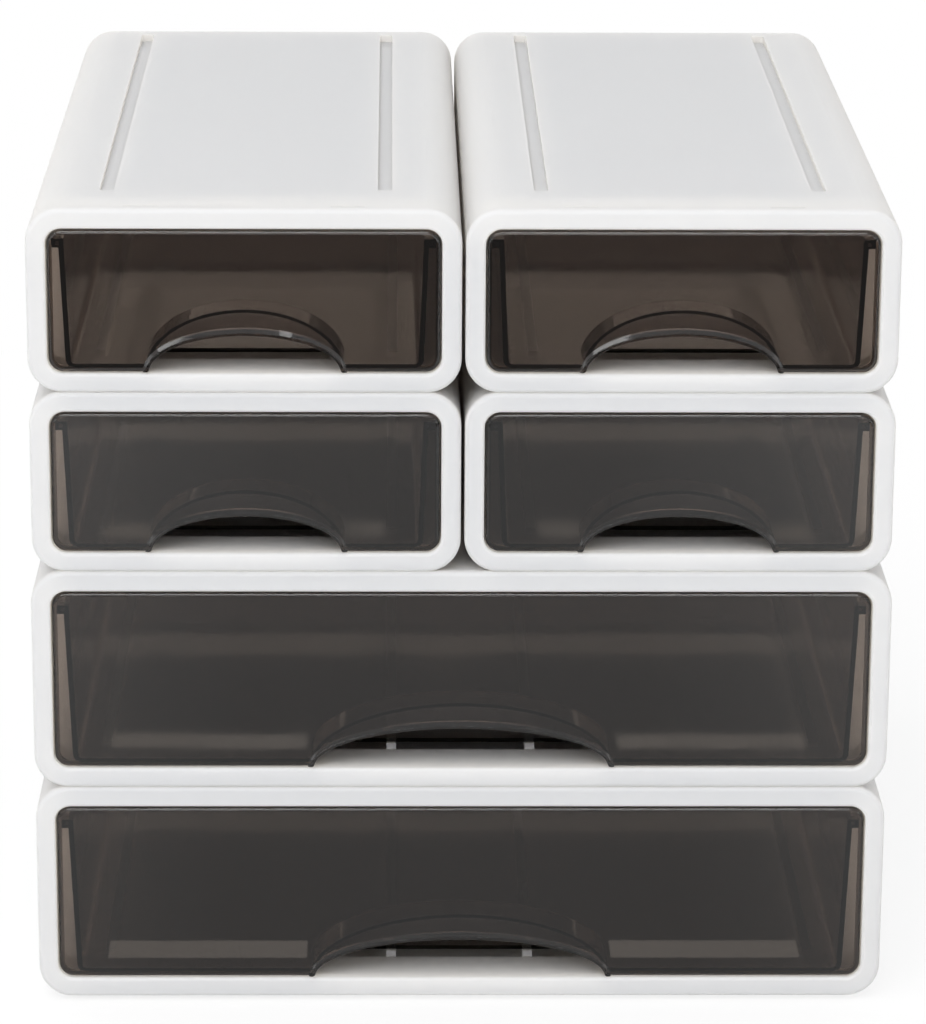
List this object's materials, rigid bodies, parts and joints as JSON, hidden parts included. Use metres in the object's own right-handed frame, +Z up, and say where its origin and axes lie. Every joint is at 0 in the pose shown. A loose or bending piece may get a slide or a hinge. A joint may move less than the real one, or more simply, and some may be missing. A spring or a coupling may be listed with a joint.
{
  "type": "stackable drawer organizer",
  "caption": "Stacked desk drawer units: rounded white casings hold smoke see-through drawers that slide out by an arched finger pull and lift off one another.",
  "frame": {"origin": "on the surface that the stack stands on, under the centre of its outline", "axes": "+Z up, front with the drawer panels towards -Y, +X to the right seen from the front"},
  "size_m": [0.3536, 0.37, 0.342],
  "materials": {
    "casing_white": "satin moulded plastic, slightly see-through to light",
    "frame_white": "satin moulded plastic",
    "drawer_smoke": "clear smoke-grey polished plastic"
  },
  "bodies": {
    "bottom_wide_casing": {"bottom_wide_sleeve": "casing_white", "bottom_wide_front_frame": "frame_white"},
    "bottom_wide_drawer": {"bottom_wide_drawer": "drawer_smoke"},
    "upper_wide_casing": {"upper_wide_sleeve": "casing_white", "upper_wide_front_frame": "frame_white"},
    "upper_wide_drawer": {"upper_wide_drawer": "drawer_smoke"},
    "lower_left_casing": {"lower_left_sleeve": "casing_white", "lower_left_front_frame": "frame_white"},
    "lower_left_drawer": {"lower_left_drawer": "drawer_smoke"},
    "lower_right_casing": {"lower_right_sleeve": "casing_white", "lower_right_front_frame": "frame_white"},
    "lower_right_drawer": {"lower_right_drawer": "drawer_smoke"},
    "top_left_casing": {"top_left_sleeve": "casing_white", "top_left_front_frame": "frame_white"},
    "top_left_drawer": {"top_left_drawer": "drawer_smoke"},
    "top_right_casing": {"top_right_sleeve": "casing_white", "top_right_front_frame": "frame_white"},
    "top_right_drawer": {"top_right_drawer": "drawer_smoke"}
  },
  "joints": [
    {"name": "bottom_wide_drawer_slide", "type": "slide", "parent": "bottom_wide_casing", "child": "bottom_wide_drawer", "axis": [0, -1, 0], "range_m": [0, 0.3]},
    {"name": "upper_wide_drawer_slide", "type": "slide", "parent": "upper_wide_casing", "child": "upper_wide_drawer", "axis": [0, -1, 0], "range_m": [0, 0.3]},
    {"name": "lower_left_drawer_slide", "type": "slide", "parent": "lower_left_casing", "child": "lower_left_drawer", "axis": [0, -1, 0], "range_m": [0, 0.3]},
    {"name": "lower_right_drawer_slide", "type": "slide", "parent": "lower_right_casing", "child": "lower_right_drawer", "axis": [0, -1, 0], "range_m": [0, 0.3]},
    {"name": "top_left_drawer_slide", "type": "slide", "parent": "top_left_casing", "child": "top_left_drawer", "axis": [0, -1, 0], "range_m": [0, 0.3]},
    {"name": "top_right_drawer_slide", "type": "slide", "parent": "top_right_casing", "child": "top_right_drawer", "axis": [0, -1, 0], "range_m": [0, 0.3]},
    {"name": "upper_wide_lift_off", "type": "slide", "parent": "bottom_wide_casing", "child": "upper_wide_casing", "axis": [0, 0, 1], "range_m": [0, 0.12]},
    {"name": "lower_left_lift_off", "type": "slide", "parent": "upper_wide_casing", "child": "lower_left_casing", "axis": [0, 0, 1], "range_m": [0, 0.12]},
    {"name": "lower_right_lift_off", "type": "slide", "parent": "upper_wide_casing", "child": "lower_right_casing", "axis": [0, 0, 1], "range_m": [0, 0.12]},
    {"name": "top_left_lift_off", "type": "slide", "parent": "lower_left_casing", "child": "top_left_casing", "axis": [0, 0, 1], "range_m": [0, 0.12]},
    {"name": "top_right_lift_off", "type": "slide", "parent": "lower_right_casing", "child": "top_right_casing", "axis": [0, 0, 1], "range_m": [0, 0.12]}
  ]
}
